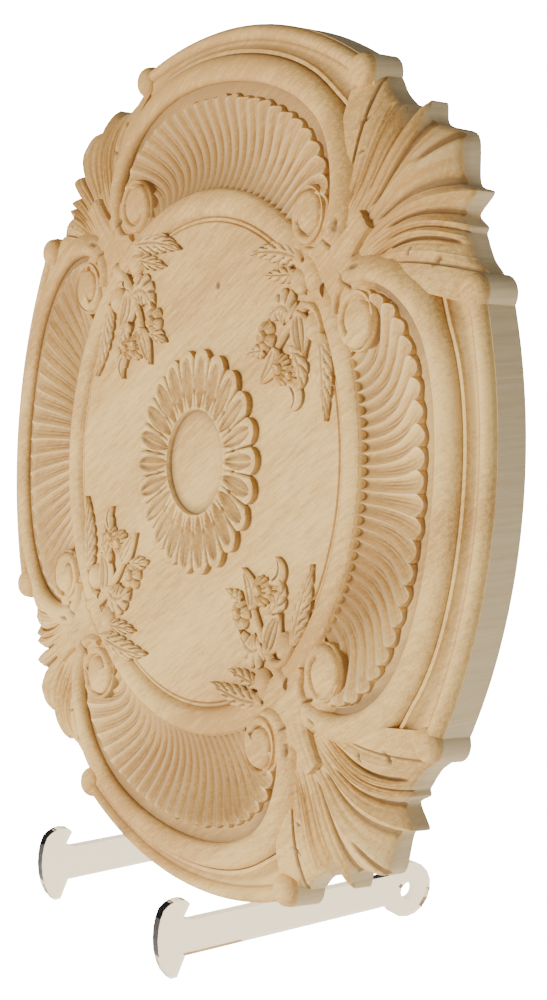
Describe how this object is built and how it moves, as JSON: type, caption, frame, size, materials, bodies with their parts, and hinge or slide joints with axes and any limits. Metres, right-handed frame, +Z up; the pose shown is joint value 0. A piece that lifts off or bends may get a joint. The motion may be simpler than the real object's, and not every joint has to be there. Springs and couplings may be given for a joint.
{
  "type": "ceiling medallion",
  "caption": "Carved wooden ceiling medallion with shell lobes, corner leaf fans and a central rosette, leaning on a clear plastic display stand.",
  "frame": {"origin": "centre of the whole part's box, on the surface that the stand stands on", "axes": "+Z up, +X to the viewer's right of the carved face, the carved face looks towards -Y and leans back 6.2 degrees"},
  "size_m": [0.609, 0.2304, 0.6352],
  "materials": {
    "wood": "unfinished, sanded, fine carving marks",
    "clear_plastic": "clear, polished faces, faintly smoky edges"
  },
  "bodies": {
    "root": {"medallion": "wood", "stand_leg_left": "clear_plastic", "stand_leg_right": "clear_plastic", "stand_crossbar": "clear_plastic"}
  },
  "joints": []
}
